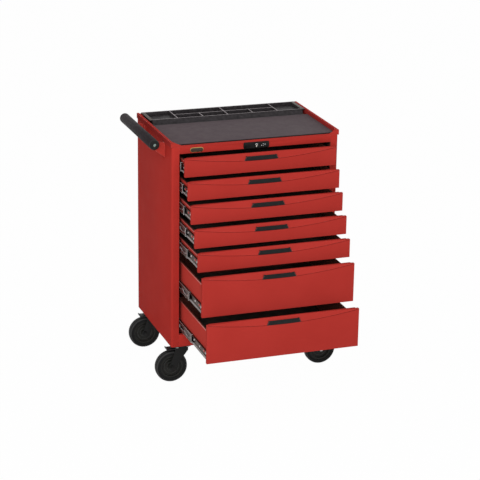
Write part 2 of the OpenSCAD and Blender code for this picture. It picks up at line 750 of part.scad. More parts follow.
// The plates of the swivel casters, each with its bearing race and the kingpin that holds the fork
module swivel_plates() color(DARK) place() for (y = caster_ys) translate([pivot_x, y, 0]) {
    caster_plate();
    translate([0, 0, race_z]) cylinder(r = race_r, h = race_h + eps);
    translate([0, 0, king_z]) cylinder(r = king_r, h = race_z + eps - king_z);
    translate([0, 0, king_z]) cylinder(r = king_r + 4, h = king_head_t);
}

// One leg of a fork, from its top at height z1 down to the axle at x = ax
module leg_outline(z1, ax) {
    boss_r = axle_r * 3.2;
    polygon([[-race_r, z1], [race_r, z1], [race_r, z1 - leg_head], [ax + boss_r, wheel_r],
             [ax - boss_r, wheel_r], [-race_r, z1 - leg_head]]);
    translate([ax, wheel_r]) circle(boss_r);
}

module fork_legs(z1, ax) for (s = [-1, 1]) translate([0, s * (leg_y + leg_t / 2) + leg_t / 2, 0])
    rotate([90, 0, 0]) linear_extrude(leg_t) difference() {
        leg_outline(z1, ax);
        translate([ax, wheel_r]) circle(axle_r + axle_fit);
    }

// A swivel fork with its crown, pedal pin and axle bolt
module swivel_fork() {
    difference() {
        union() {
            block([-race_r, -leg_y - leg_t, crown_z - leg_t], [race_r, leg_y + leg_t, crown_z]);
            fork_legs(crown_z, -trail);
        }
        translate([0, 0, crown_z - leg_t - cut]) cylinder(r = king_r + axle_fit, h = leg_t + 2 * cut);
    }
    translate([pedal_x, 0, pedal_z]) rotate([90, 0, 0])
        cylinder(r = pedal_pin_r, h = 2 * (leg_y + leg_t / 2), center = true);
    translate([-trail, 0, wheel_r]) axle_bolt();
}

module rigid_forks() color(DARK) place() for (y = caster_ys) translate([rigid_x, y, 0]) {
    caster_plate();
    fork_legs(caster_h - plate_t + eps, 0);
}

// A brake pedal over the tyre's trailing side, with the shoe that presses on the tyre
module brake_pedal() {
    w = leg_y - 1;
    tip_x = pedal_x - pedal_len;
    difference() {
        union() {
            translate([pedal_x, 0, pedal_z]) rotate([90, 0, 0])
                cylinder(r = pedal_eye_r, h = 2 * w, center = true);
            block([tip_x, -w, pedal_z - 1], [pedal_x, w, pedal_z + 2]);
            block([tip_x, -w, pedal_z - 1], [tip_x + 3, w, pedal_z + 5]);
            block([-trail - 6, -wheel_w / 4, pedal_z - shoe_t], [-trail + 6, wheel_w / 4, pedal_z]);
        }
        translate([pedal_x, 0, pedal_z]) rotate([90, 0, 0])
            cylinder(r = pedal_pin_r + axle_fit, h = 2 * w + 2 * cut, center = true);
    }
}

// A tyre about the Y axis, with rounded shoulders
module tyre() rotate([90, 0, 0]) rotate_extrude($fn = 96) {
    hw = wheel_w / 2;
    shoulder = 7;
    translate([hub_r, -hw]) square([wheel_r - shoulder - hub_r, wheel_w]);
    translate([hub_r, -hw + shoulder]) square([wheel_r - hub_r, wheel_w - 2 * shoulder]);
    for (s = [-1, 1]) translate([wheel_r - shoulder, s * (hw - shoulder)]) circle(shoulder);
}

// A hub about the Y axis: bored boss, thin web and a rim under the tyre
module hub() rotate([90, 0, 0]) rotate_extrude($fn = 96) {
    bore_r = axle_r + axle_fit;
    boss_hw = wheel_w / 2 + boss_out;
    boss_r = 14;
    web_hw = 5;
    rim_t = 8;
    rim_hw = wheel_w / 2 - 2;
    translate([bore_r, -boss_hw]) square([boss_r - bore_r, 2 * boss_hw]);
    translate([bore_r, -web_hw]) square([hub_r - 1 - bore_r, 2 * web_hw]);
    translate([hub_r - rim_t, -rim_hw]) square([rim_t - 0.05, 2 * rim_hw]);
}

// Children at one caster's wheel: side 0 is the left, swivelling side, and row 0 is the front
module at_wheel(side, row) place()
    translate([side == 0 ? pivot_x - trail : rigid_x, caster_ys[row], wheel_r]) children();

module at_pivot(row) place() translate([pivot_x, caster_ys[row], 0]) children();

// ---- What is drawn ----
left_side_panel();
right_side_panel();
back_panel();
base_pan();
top_fascia();
worktop_pan();
slide_posts();
cabinet_rails();
worktop_mat();
organiser_tray();
lock_plate();
lock_barrel();
lock_plug();
lock_bar();
handle_brackets();
handle_tube();
handle_end_caps();
bolts_and_screws();
swivel_plates();
rigid_forks();
for (n = [0:6]) {
    drawer(n);
    drawer_grip(n);
    drawer_rails(n);
    middle_rails(n);
}
for (row = [0, 1]) {
    color(DARK) at_pivot(row) swivel_fork();
    color(BLACK) at_pivot(row) brake_pedal();
    for (side = [0, 1]) {
        corner = str(ROWS[row], "_", SIDES[side]);
        color(BLACK) at_wheel(side, row) tyre();
        color(DARK) at_wheel(side, row) hub();
    }
}
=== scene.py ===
"""The looks of a rolling tool chest: finishes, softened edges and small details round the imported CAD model.

Sizes are in millimetres and in cabinet coordinates unless a comment says otherwise: X from the cabinet's
middle, Y from its front face backwards, Z from the floor. place() turns them into the frame's metres.
"""
import json
import math

import bmesh
import bpy
from mathutils import Matrix, Vector


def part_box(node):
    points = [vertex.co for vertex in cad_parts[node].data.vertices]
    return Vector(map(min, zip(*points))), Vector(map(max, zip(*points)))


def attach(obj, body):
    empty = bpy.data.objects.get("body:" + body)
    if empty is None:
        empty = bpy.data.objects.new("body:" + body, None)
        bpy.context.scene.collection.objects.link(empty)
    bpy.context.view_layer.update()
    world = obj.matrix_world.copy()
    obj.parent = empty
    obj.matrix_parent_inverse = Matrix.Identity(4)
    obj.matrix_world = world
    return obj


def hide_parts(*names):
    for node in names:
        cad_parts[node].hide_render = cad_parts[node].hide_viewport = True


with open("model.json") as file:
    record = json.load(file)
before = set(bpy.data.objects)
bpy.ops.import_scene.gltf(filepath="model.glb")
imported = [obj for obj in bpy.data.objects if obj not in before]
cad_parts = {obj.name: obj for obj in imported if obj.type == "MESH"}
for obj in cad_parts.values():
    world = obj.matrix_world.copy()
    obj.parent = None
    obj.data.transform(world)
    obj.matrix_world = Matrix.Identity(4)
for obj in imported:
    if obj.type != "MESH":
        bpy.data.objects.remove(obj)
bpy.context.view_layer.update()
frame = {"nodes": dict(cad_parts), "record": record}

MM = 0.001
NODES = frame["nodes"]
BEHAVIOUR = frame["record"]["behaviour"]
BODY_OF = {node: body for body, members in BEHAVIOUR["bodies"].items() for node in members}
DRAWERS = range(1, 8)
ROWS = ("front", "rear")
WHEEL_SIDES = ("left", "right")

# The cabinet's middle and its front face, in the frame.
LEFT_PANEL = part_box("left_side_panel")
RIGHT_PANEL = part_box("right_side_panel")
MID_X = (LEFT_PANEL[0].x + RIGHT_PANEL[1].x) / 2
FRONT_Y = LEFT_PANEL[0].y

# A face looks along an axis where its normal's share of that axis is above FACING, and leans towards it
# above LEANING.
FACING = 0.9
LEANING = 0.5


def place(x, y, z):
    """A point in cabinet coordinates, in millimetres, as a point of the frame in metres."""
    return Vector((MID_X + x * MM, FRONT_Y + y * MM, z * MM))


def box_mm(node):
    """A CAD node's lowest and highest corner in cabinet coordinates, in millimetres."""
    low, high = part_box(node)
    origin = place(0, 0, 0)
    return (low - origin) / MM, (high - origin) / MM


# ---- Camera ----

CAMERA_AIM = place(-154.9, -267.3, 674.7)
CAMERA_DISTANCE = 6.425
CAMERA_YAW = math.radians(19.549)
CAMERA_PITCH = math.radians(18.874)
CAMERA_ROLL = math.radians(-0.872)
CAMERA_LENS = 129.51
SENSOR_W = 36


def make_camera():
    """The camera looks along the yaw to the right of +Y, and down by the pitch."""
    data = bpy.data.cameras.new("camera")
    data.lens = CAMERA_LENS
    data.sensor_width = SENSOR_W
    camera = bpy.data.objects.new("camera", data)
    bpy.context.scene.collection.objects.link(camera)
    ahead = Vector((math.sin(CAMERA_YAW) * math.cos(CAMERA_PITCH),
                    math.cos(CAMERA_YAW) * math.cos(CAMERA_PITCH),
                    -math.sin(CAMERA_PITCH)))
    level = Vector((math.cos(CAMERA_YAW), -math.sin(CAMERA_YAW), 0))
    up = level.cross(ahead)
    right = level * math.cos(CAMERA_ROLL) - up * math.sin(CAMERA_ROLL)
    up = right.cross(ahead)
    turn = Matrix((right, up, -ahead)).transposed()
    camera.matrix_world = Matrix.Translation(CAMERA_AIM - ahead * CAMERA_DISTANCE) @ turn.to_4x4()
    bpy.context.scene.camera = camera


make_camera()


# ---- Materials ----

# A colour Mix node's sockets by number, since their names repeat, and the usual range of a noise.
MIX_FACTOR, MIX_A, MIX_B, MIX_RESULT = 0, 6, 7, 2
NOISE_LOW, NOISE_HIGH = 0.3, 0.7


class Finish:
    """A Principled material whose colour, roughness and relief come from noise in object space."""

    def __init__(self, name, colour, roughness, metallic=0.0, specular=0.5):
        self.material = bpy.data.materials.new(name)
        self.material.use_nodes = True
        self.tree = self.material.node_tree
        self.shader = self.tree.nodes["Principled BSDF"]
        self.shader.inputs["Base Color"].default_value = (*colour, 1)
        self.shader.inputs["Roughness"].default_value = roughness
        self.shader.inputs["Metallic"].default_value = metallic
        self.shader.inputs["Specular IOR Level"].default_value = specular
        self.colour = colour
        self.roughness = roughness
        self.coordinates = self.tree.nodes.new("ShaderNodeTexCoord")
        self.last_bump = None

    def noise(self, size, detail=3.0, stretch=(1, 1, 1)):
        """A noise texture whose features are about size metres across, drawn out by stretch."""
        mapping = self.tree.nodes.new("ShaderNodeMapping")
        mapping.inputs["Scale"].default_value = stretch
        texture = self.tree.nodes.new("ShaderNodeTexNoise")
        texture.inputs["Scale"].default_value = 1 / size
        texture.inputs["Detail"].default_value = detail
        self.tree.links.new(self.coordinates.outputs["Object"], mapping.inputs["Vector"])
        self.tree.links.new(mapping.outputs["Vector"], texture.inputs["Vector"])
        return texture.outputs["Fac"]

    def spread(self, value, low, high):
        """Maps a noise's usual range to low..high."""
        remap = self.tree.nodes.new("ShaderNodeMapRange")
        remap.inputs["From Min"].default_value = NOISE_LOW
        remap.inputs["From Max"].default_value = NOISE_HIGH
        remap.inputs["To Min"].default_value = low
        remap.inputs["To Max"].default_value = high
        self.tree.links.new(value, remap.inputs["Value"])
        return remap.outputs["Result"]

    def mottle(self, size, other, detail=3.0, stretch=(1, 1, 1)):
        """Varies the colour between the finish's own and another."""
        mix = self.tree.nodes.new("ShaderNodeMix")
        mix.data_type = "RGBA"
        mix.inputs[MIX_A].default_value = (*self.colour, 1)
        mix.inputs[MIX_B].default_value = (*other, 1)
        self.tree.links.new(self.spread(self.noise(size, detail, stretch), 0, 1), mix.inputs[MIX_FACTOR])
        self.tree.links.new(mix.outputs[MIX_RESULT], self.shader.inputs["Base Color"])
        return self

    def vary_gloss(self, size, amount, stretch=(1, 1, 1)):
        """Varies the roughness by the given amount either way."""
        rough = self.spread(self.noise(size, 2.0, stretch), self.roughness - amount, self.roughness + amount)
        self.tree.links.new(rough, self.shader.inputs["Roughness"])
        return self

    def relief(self, size, depth, detail=2.0, stretch=(1, 1, 1)):
        """Adds a bump of the given feature size and depth, in metres."""
        bump = self.tree.nodes.new("ShaderNodeBump")
        bump.inputs["Strength"].default_value = 1
        bump.inputs["Distance"].default_value = depth
        self.tree.links.new(self.noise(size, detail, stretch), bump.inputs["Height"])
        if self.last_bump:
            self.tree.links.new(self.last_bump, bump.inputs["Normal"])
        self.last_bump = bump.outputs["Normal"]
        self.tree.links.new(self.last_bump, self.shader.inputs["Normal"])
        return self


# The share of its brightness that plated steel keeps where it is dull.
TARNISH = 0.72


def powder_coat(name, colour, darker, roughness, specular=0.002):
    """Powder coat: a fine orange peel, with a slow drift in colour and gloss."""
    finish = Finish(name, colour, roughness, specular=specular)
    return finish.mottle(0.16, darker).vary_gloss(0.05, 0.03).relief(0.0018, 0.00005).material


def moulded_plastic(name, colour, lighter, roughness, grain=0.0006, depth=0.00006):
    """Moulded plastic with a spark-eroded grain."""
    finish = Finish(name, colour, roughness, specular=0.15)
    return finish.mottle(0.012, lighter, 5.0).vary_gloss(0.004, 0.05).relief(grain, depth).material


def plated_steel(name, colour, roughness, drawn=(1, 0.05, 1), metallic=1.0):
    """Plated steel with faint drawing lines along one axis."""
    finish = Finish(name, colour, roughness, metallic=metallic)
    darker = [TARNISH * c for c in colour]
    finish.mottle(0.008, darker, 4.0, drawn).vary_gloss(0.002, 0.08, drawn)
    return finish.relief(0.001, 0.00002, 3.0, drawn).material


def rubber(name, colour, lighter, roughness, grain, depth):
    """Rubber: dull, with a fine grain and a little bloom."""
    finish = Finish(name, colour, roughness, specular=0.08)
    return finish.mottle(0.03, lighter, 4.0).vary_gloss(0.01, 0.04).relief(grain, depth).material


# Colours are linear, and each finish drifts between its two. The reds are the cabinet's one paint, copied for
# the
# light it stands in: lighter copies are painted light on the panels, box sides and gusset fronts, paler
# glossier ones are painted highlights and sheen along edges, rims and hems, and darker ones are painted shade
# on the pan's walls and floor, along the creases and inside.
RED = powder_coat("red_powder_coat", (0.405, 0.0345, 0.0272), (0.378, 0.0312, 0.0244), 0.48)
RED_PANEL_PAINTED_LIGHT = powder_coat("red_powder_coat_panels_painted_light", (0.425, 0.0330, 0.0255), (0.395, 0.0295, 0.0230), 0.48)
RED_PAINTED_LIGHT = powder_coat("red_powder_coat_painted_light", (0.480, 0.0480, 0.0370), (0.450, 0.0430, 0.0330), 0.48)
RED_EDGE_PAINTED_SHEEN = powder_coat("red_powder_coat_painted_edge_sheen", (0.400, 0.0420, 0.0360), (0.380, 0.0380, 0.0330), 0.35, 0.30)
EDGE_PAINTED_HIGHLIGHT = powder_coat("red_powder_coat_painted_edge_highlight", (0.660, 0.210, 0.195), (0.620, 0.190, 0.175), 0.30, 0.50)
HEM_PAINTED_HIGHLIGHT = powder_coat("red_powder_coat_painted_hem_highlight", (0.560, 0.110, 0.095), (0.520, 0.095, 0.082), 0.35, 0.20)
PAN_WALL_PAINTED_SHADE = powder_coat("red_powder_coat_painted_pan_shade", (0.300, 0.0260, 0.0230), (0.275, 0.0240, 0.0210), 0.55)
RED_PAINTED_SHADE = powder_coat("red_powder_coat_painted_shade", (0.110, 0.0090, 0.0075), (0.100, 0.0080, 0.0070), 0.55)
RED_INSIDE_PAINTED_SHADE = powder_coat("red_powder_coat_painted_inside_shade", (0.150, 0.0480, 0.0360), (0.130, 0.0420, 0.0310), 0.60)
DARK_STEEL = powder_coat("black_powder_coat", (0.008, 0.008, 0.008), (0.006, 0.006, 0.0055), 0.45, 0.15)

ZINC = plated_steel("zinc_plate", (0.36, 0.36, 0.35), 0.34)
# The web colour is painted shade with a painted reflection of the red. The lip and edge colours are painted
# highlights, and the lip colour is also the bright steel of the slide screws.
RAIL_WEB_PAINTED_SHADE = plated_steel("rail_web_painted_shade", (0.085, 0.062, 0.052), 0.42)
BRIGHT_STEEL_AND_HIGHLIGHT = plated_steel("rail_bright_steel_and_painted_highlight", (0.80, 0.74, 0.74), 0.36, metallic=0.35)
RAIL_EDGE_PAINTED_HIGHLIGHT = plated_steel("rail_edge_painted_highlight", (0.30, 0.25, 0.23), 0.38, metallic=0.6)
CHROME = plated_steel("lock_chrome", (0.30, 0.29, 0.27), 0.20, (1, 1, 1))
BOLT_STEEL = plated_steel("bolt_steel", (0.26, 0.33, 0.30), 0.25, (1, 1, 1))
BADGE_RIM = plated_steel("badge_rim", (0.62, 0.46, 0.16), 0.30, (0.05, 1, 1))

TRAY_PLASTIC = moulded_plastic("tray_plastic", (0.016, 0.014, 0.015), (0.036, 0.032, 0.034), 0.46)
# The tray's edge colour is a painted highlight on the tops of its walls, and its flange colour painted light
# on the end flanges.
TRAY_TOP_PAINTED_HIGHLIGHT = moulded_plastic("tray_top_painted_highlight", (0.200, 0.170, 0.178), (0.250, 0.215, 0.225), 0.40)
TRAY_FLANGE_PAINTED_LIGHT = moulded_plastic("tray_flange", (0.045, 0.038, 0.032), (0.085, 0.072, 0.062), 0.45)
GRIP_PLASTIC = moulded_plastic("grip_plastic", (0.006, 0.0075, 0.0075), (0.011, 0.0125, 0.0125), 0.45)
# The grip's end colour is a painted highlight on its end facets.
GRIP_END_PAINTED_HIGHLIGHT = moulded_plastic("grip_end_painted_highlight", (0.060, 0.030, 0.028), (0.080, 0.040, 0.036), 0.40)
CAP_PLASTIC = moulded_plastic("cap_plastic", (0.007, 0.007, 0.007), (0.012, 0.012, 0.011), 0.36)
PEDAL_PLASTIC = moulded_plastic("pedal_plastic", (0.014, 0.014, 0.015), (0.019, 0.019, 0.020), 0.42)
RETAINER_PLASTIC = moulded_plastic("retainer_plastic", (0.010, 0.010, 0.010), (0.014, 0.014, 0.014), 0.40)
HUB = moulded_plastic("hub_plastic", (0.008, 0.008, 0.0075), (0.015, 0.015, 0.0125), 0.38)
# The hub's edge colour is a painted highlight on its rings and softened edges.
HUB_PAINTED_HIGHLIGHT = moulded_plastic("hub_painted_highlight", (0.024, 0.024, 0.023), (0.040, 0.040, 0.038), 0.35)

MAT_RUBBER = rubber("mat_rubber", (0.080, 0.060, 0.067), (0.095, 0.074, 0.079), 0.70, 0.0012, 0.00008)
# The mat's edge colour is painted shade.
MAT_PAINTED_SHADE = rubber("mat_edge_painted_shade", (0.010, 0.008, 0.009), (0.014, 0.011, 0.012), 0.75, 0.0012, 0.00008)
HANDLE_FOAM = rubber("handle_sleeve", (0.011, 0.008, 0.010), (0.018, 0.012, 0.014), 0.60, 0.0008, 0.00015)
TYRE = rubber("tyre_rubber", (0.009, 0.009, 0.009), (0.013, 0.013, 0.013), 0.50, 0.0006, 0.00006)
# The tyre's edge colour is a painted highlight on its shoulders.
TYRE_PAINTED_HIGHLIGHT = rubber("tyre_painted_highlight", (0.030, 0.030, 0.030), (0.042, 0.042, 0.042), 0.45, 0.0006, 0.00006)
# The liner is a dark sheet that stands for the shade on the drawers' floors.
SHADE_LINER = rubber("drawer_shade_liner", (0.078, 0.068, 0.058), (0.098, 0.086, 0.074), 0.75, 0.0015, 0.0002)

# White for the printed lock marks and a painted highlight on the key plug. The key slot's colour is a painted
# shine.
WHITE_MARK_AND_HIGHLIGHT = Finish("lock_marks", (0.85, 0.85, 0.85), 0.5).vary_gloss(0.002, 0.05).material
SHINE = Finish("key_slot_shine", (0.72, 0.70, 0.62), 0.4).vary_gloss(0.002, 0.05).material
BADGE = Finish("blank_badge", (0.030, 0.022, 0.014), 0.30).mottle(0.01, (0.045, 0.036, 0.024)).material


# ---- Mesh helpers ----

# Widths of softened edges, in millimetres, by what they are on.
SOFT = {"thin": 0.3, "drawer": 0.35, "sheet": 0.4, "panel": 0.5, "foam": 0.6, "tray": 0.7, "moulded": 0.8,
        "grip": 0.9, "thick": 1.2, "cap": 1.5}

# Edges that turn by more than SOFT_ANGLE are softened, or by FOLD_ANGLE on a piece with wider folds. Faces
# that differ by less than FLAT_ANGLE become one.
SOFT_ANGLE = math.radians(30)
FOLD_ANGLE = math.radians(20)
FLAT_ANGLE = math.radians(0.05)

# In metres: corners within WELD of each other are one, and a corner within ON_PLANE of a plane lies on it.
WELD = 1e-6
ON_PLANE = 1e-5

# A lathed profile starts this far from its axis, in millimetres, and a rounding takes up to 1 / SIDE_SHARE of
# the sides beside it.
CORE_R = 0.01
SIDE_SHARE = 2.2


def add_piece(name, mesh, materials, body, replaces=(), location=(0, 0, 0)):
    """Makes an object from a mesh, and has it ride on a body and stand for the CAD nodes that it replaces."""
    piece = bpy.data.objects.new(name, mesh)
    bpy.context.scene.collection.objects.link(piece)
    piece.location = location
    if not mesh.materials:
        for material in materials:
            mesh.materials.append(material)
    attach(piece, body)
    if replaces:
        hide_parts(*replaces)
    return piece


def mesh_from(bm, name, smooth=True):
    """Turns a bmesh into a mesh, with its faces turned outwards."""
    bmesh.ops.recalc_face_normals(bm, faces=bm.faces)
    for face in bm.faces:
        face.smooth = smooth
    mesh = bpy.data.meshes.new(name)
    bm.to_mesh(mesh)
    bm.free()
    return mesh


def soften(piece, width, segments=2, by_weight=False, material=-1):
    """Rounds a piece's edges. The width is in millimetres, and the material a number of the piece's list."""
    bevel = piece.modifiers.new("soft_edges", "BEVEL")
    bevel.width = width * MM
    bevel.segments = segments
    bevel.limit_method = "WEIGHT" if by_weight else "ANGLE"
    bevel.angle_limit = SOFT_ANGLE
    bevel.use_clamp_overlap = True
    bevel.harden_normals = True
    bevel.material = material


def welded(node):
    """A bmesh of a CAD node with its shared corners joined."""
    bm = bmesh.new()
    bm.from_mesh(NODES[node].data)
    bmesh.ops.remove_doubles(bm, verts=bm.verts, dist=WELD)
    return bm


def join_flat(bm):
    """Makes flat faces whole, up to where the material changes."""
    bmesh.ops.dissolve_limit(bm, angle_limit=FLAT_ANGLE, verts=bm.verts, edges=bm.edges, delimit={"MATERIAL"})
    return bm


def painted(node, paint, cuts):
    """A CAD node's bmesh, cut along planes, where paint(face) gives the number of each face's material.

    A cut is an axis of the frame, 0 to 2 for X to Z, and a place along it in metres.
    """
    bm = welded(node)
    for axis, value in cuts:
        normal = Vector([float(axis == i) for i in range(3)])
        bmesh.ops.bisect_plane(bm, geom=bm.verts[:] + bm.edges[:] + bm.faces[:], plane_co=normal * value,
                               plane_no=normal)
    for face in bm.faces:
        face.material_index = paint(face)
    return join_flat(bm)


def dressed(node, material, width, fold=None, fold_width=0.0, extra=(), pick=None, segments=2, edge=None,
            bm=None, location=(0, 0, 0)):
    """Replaces a CAD node by a copy with softened edges, and wider ones where fold(edge) is true.

    pick(face) gives the number of the extra material that a face takes, or 0 for the main one. The softened
    edges take the material called edge. A bmesh given as bm stands for the node's own shape.
    """
    bm = bm or join_flat(welded(node))
    if fold:
        weights = bm.edges.layers.float.new("bevel_weight_edge")
        for side in bm.edges:
            if len(side.link_faces) == 2 and side.calc_face_angle() > FOLD_ANGLE:
                side[weights] = 1.0 if fold(side) else width / fold_width
    if pick:
        for face in bm.faces:
            face.material_index = pick(face)
    materials = (material, *extra, edge) if edge else (material, *extra)
    mesh = mesh_from(bm, node + "_dressed")
    piece = add_piece(node + "_dressed", mesh, materials, BODY_OF[node], (node,), location)
    soften(piece, fold_width if fold else width, segments, by_weight=bool(fold),
           material=len(materials) - 1 if edge else -1)
    return piece


def lathe(profile, segments=96, axis="Y"):
    """A solid of revolution about X or Y. The profile is a closed loop of (radius, height) in millimetres."""
    bm = bmesh.new()
    rings = []
    for i in range(segments):
        angle = 2 * math.pi * i / segments
        c, s = math.cos(angle), math.sin(angle)
        spots = [(h, r * c, r * s) if axis == "X" else (r * c, h, r * s) for r, h in profile]
        rings.append([bm.verts.new(Vector(spot) * MM) for spot in spots])
    for i, ring in enumerate(rings):
        other = rings[(i + 1) % segments]
        for k in range(len(profile)):
            j = (k + 1) % len(profile)
            bm.faces.new((ring[k], ring[j], other[j], other[k]))
    return bm


def arc(cx, cy, radius, start, end, steps=6):
    """Points along an arc, with the angles in degrees."""
    angles = [math.radians(start + (end - start) * i / steps) for i in range(steps + 1)]
    return [(cx + radius * math.cos(a), cy + radius * math.sin(a)) for a in angles]


def prism(outline, low, high, axis="Y"):
    """A straight solid along X or Y, from low to high in millimetres. The outline lies across the axis."""
    bm = bmesh.new()
    ends = []
    for w in (low, high):
        spots = [(w, u, v) if axis == "X" else (u, w, v) for u, v in outline]
        ends.append([bm.verts.new(Vector(spot) * MM) for spot in spots])
    count = len(outline)
    for i in range(count):
        j = (i + 1) % count
        bm.faces.new((ends[0][i], ends[0][j], ends[1][j], ends[1][i]))
    bm.faces.new(ends[0])
    bm.faces.new(ends[1])
    return bm


def stadium(start, end, level, radius):
    """A slot's outline: a strip along the first axis with round ends."""
    return arc(end, level, radius, -90, 90) + arc(start, level, radius, 90, 270)


def brick(low, high):
    """A box between two corners in millimetres."""
    bm = bmesh.new()
    bmesh.ops.create_cube(bm, size=1)
    size = Vector(high) - Vector(low)
    middle = (Vector(high) + Vector(low)) / 2
    bmesh.ops.scale(bm, vec=size * MM, verts=bm.verts)
    bmesh.ops.translate(bm, vec=middle * MM, verts=bm.verts)
    return bm


def merged(parts):
    """One bmesh that holds all the parts, which it uses up."""
    whole = bmesh.new()
    for part in parts:
        scratch = bpy.data.meshes.new("scratch")
        part.to_mesh(scratch)
        part.free()
        whole.from_mesh(scratch)
        bpy.data.meshes.remove(scratch)
    return whole


def moved_back(bm, distance):
    """Shifts a bmesh along Y by millimetres."""
    bmesh.ops.translate(bm, vec=Vector((0, distance, 0)) * MM, verts=bm.verts)
    return bm


def mirrored(bm):
    """A copy of a bmesh on the other side of X = 0."""
    other = bm.copy()
    bmesh.ops.scale(other, vec=(-1, 1, 1), verts=other.verts)
    bmesh.ops.reverse_faces(other, faces=other.faces)
    return other


def drilled(bm, cutters, name):
    """The bmesh with the cutters' shapes taken out of it."""
    body = bpy.data.objects.new(name, mesh_from(bm, name, smooth=False))
    tool_mesh = mesh_from(merged(cutters), name + "_cutter", smooth=False)
    tool = bpy.data.objects.new(name + "_cutter", tool_mesh)
    for obj in (body, tool):
        bpy.context.scene.collection.objects.link(obj)
    boolean = body.modifiers.new("holes", "BOOLEAN")
    boolean.operation = "DIFFERENCE"
    boolean.object = tool
    boolean.solver = "EXACT"
    result = bmesh.new()
    graph = bpy.context.evaluated_depsgraph_get()
    result.from_mesh(body.evaluated_get(graph).to_mesh())
    for obj in (body, tool):
        mesh = obj.data
        bpy.data.objects.remove(obj)
        bpy.data.meshes.remove(mesh)
    return result


# ---- Cabinet ----

# The worktop pan's rim, the fold along it, its inner walls in painted shade, and where the painted shade on
# its floor begins. Then the front of the mat in painted shade, and the tray's end flanges in painted light
# and the tops of its walls with a painted highlight.
RIM_W = 9
RIM_FOLD = 2.6
PAN_WALL_H = 40
PAN_SHADE_FROM = 60
MAT_SHADE_W = 8
TRAY_END_W = 14
TRAY_TOP_BAND = 0.1


def on_plane(edge, axis, value):
    """True if both ends of an edge lie on a plane across an axis of the frame."""
    return all(abs(vert.co[axis] - value) < ON_PLANE for vert in edge.verts)


def make_panels():
    """The folded steel panels in painted light, with painted shade inside the sides and painted sheen on
    edges.
    """
    def inward(face):
        """1 for a face that looks from a side panel into the cabinet, in painted shade, and 0 for any other.
        """
        spot = face.calc_center_median()
        across = MID_X - spot.x
        return 1 if face.normal.x * across > FACING * abs(across) and spot.y > FRONT_Y + MM else 0

    for node in ("left_side_panel", "right_side_panel"):
        dressed(node, RED_PANEL_PAINTED_LIGHT, SOFT["sheet"], extra=(RED_INSIDE_PAINTED_SHADE,), pick=inward, edge=RED_EDGE_PAINTED_SHEEN)
    for node in ("back_panel", "base_pan", "top_fascia"):
        dressed(node, RED_PANEL_PAINTED_LIGHT, SOFT["panel"], edge=RED_EDGE_PAINTED_SHEEN)


def make_pan():
    """The worktop pan. Its edges carry a painted highlight, widest on the rounder folds along the rims, and
    its upright walls and the floor round the mat are painted shade.
    """
    low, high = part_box("worktop_pan")
    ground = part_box("worktop_mat")[0].z
    shade = place(0, PAN_SHADE_FROM, 0).y
    rims = (low.x, low.x + RIM_W * MM, high.x, high.x - RIM_W * MM)

    def paint(face):
        """1 for the upright walls and 2 for the floor round the mat, both painted shade, and 0 for the rest.
        """
        spot = face.calc_center_median()
        if abs(face.normal.x) > FACING and spot.z > high.z - PAN_WALL_H * MM:
            return 1
        return 2 if face.normal.z > FACING and abs(spot.z - ground) < MM and spot.y > shade else 0

    dressed("worktop_pan", RED, SOFT["sheet"], fold_width=RIM_FOLD, segments=3, edge=EDGE_PAINTED_HIGHLIGHT,
            extra=(PAN_WALL_PAINTED_SHADE, RED_PAINTED_SHADE), bm=painted("worktop_pan", paint, [(1, shade)]),
            fold=lambda edge: any(on_plane(edge, 0, x) for x in rims) and on_plane(edge, 2, high.z))


def make_posts():
    """The posts behind the sides, and the slides' fixed members, their webs in painted shade and lips with a
    painted highlight.
    """
    dressed("slide_posts", DARK_STEEL, SOFT["sheet"])
    dressed("cabinet_rails", RAIL_WEB_PAINTED_SHADE, SOFT["sheet"], extra=(BRIGHT_STEEL_AND_HIGHLIGHT,),
            pick=lambda face: 1 if abs(face.normal.z) > LEANING else 0)


def make_mat():
    """The rubber mat, with painted shade along its front edge and its sides."""
    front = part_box("worktop_mat")[0].y + MAT_SHADE_W * MM

    def paint(face):
        """0 for the top behind the front edge, and 1 for the rest, which takes painted shade."""
        return 0 if face.normal.z > LEANING and face.calc_center_median().y > front else 1

    dressed("worktop_mat", MAT_RUBBER, SOFT["thin"], extra=(MAT_PAINTED_SHADE,),
            bm=painted("worktop_mat", paint, [(1, front)]))


def make_tray():
    """The organiser tray, with a painted highlight on the tops of its walls and painted light on the flanges
    at its ends.
    """
    low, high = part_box("organiser_tray")
    ends = (low.x + TRAY_END_W * MM, high.x - TRAY_END_W * MM)

    def paint(face):
        """2 for the flanges in painted light, 1 for the tops of the other walls with a painted highlight and
        0 for the rest.
        """
        spot = face.calc_center_median()
        if face.normal.z < FACING:
            return 0
        if not ends[0] < spot.x < ends[1]:
            return 2
        return 1 if spot.z > high.z - TRAY_TOP_BAND * MM else 0

    dressed("organiser_tray", TRAY_PLASTIC, SOFT["tray"], extra=(TRAY_TOP_PAINTED_HIGHLIGHT, TRAY_FLANGE_PAINTED_LIGHT),
            bm=painted("organiser_tray", paint, [(0, x) for x in ends]))


make_panels()
make_pan()
make_posts()
make_mat()
make_tray()


# ---- Drawers ----

# The drawers as they are in the CAD model: sheet, box, front, and the curved strip along the front's top.
DRAWER_SHEET = 1
BOX_LIFT = 8
SLIDE_SPACE = 13
SIDE_GAP = 2
FRONT_DEPTH = 18
CURVE_DROP = 25.5
CURVE_SET_BACK = 13

# What is added to them: liners that stand for the shade on the floors, rounded folds with a painted
# highlight, hems with a painted highlight and lines of painted shade along the creases.
LINER_T = 2
LINER_GAP = 1.5
DRAWER_FOLD = 1.3
HEM_H = 5
CREASE_W = 1.3
CREASE_IN = 1.5
CREASE_DROP = 1
CREASE_STEPS = 48

# A flat mark stands clear of the face behind it, from MARK_BACK to MARK_FRONT in front of that face.
MARK_BACK, MARK_FRONT = 0.02, 0.15

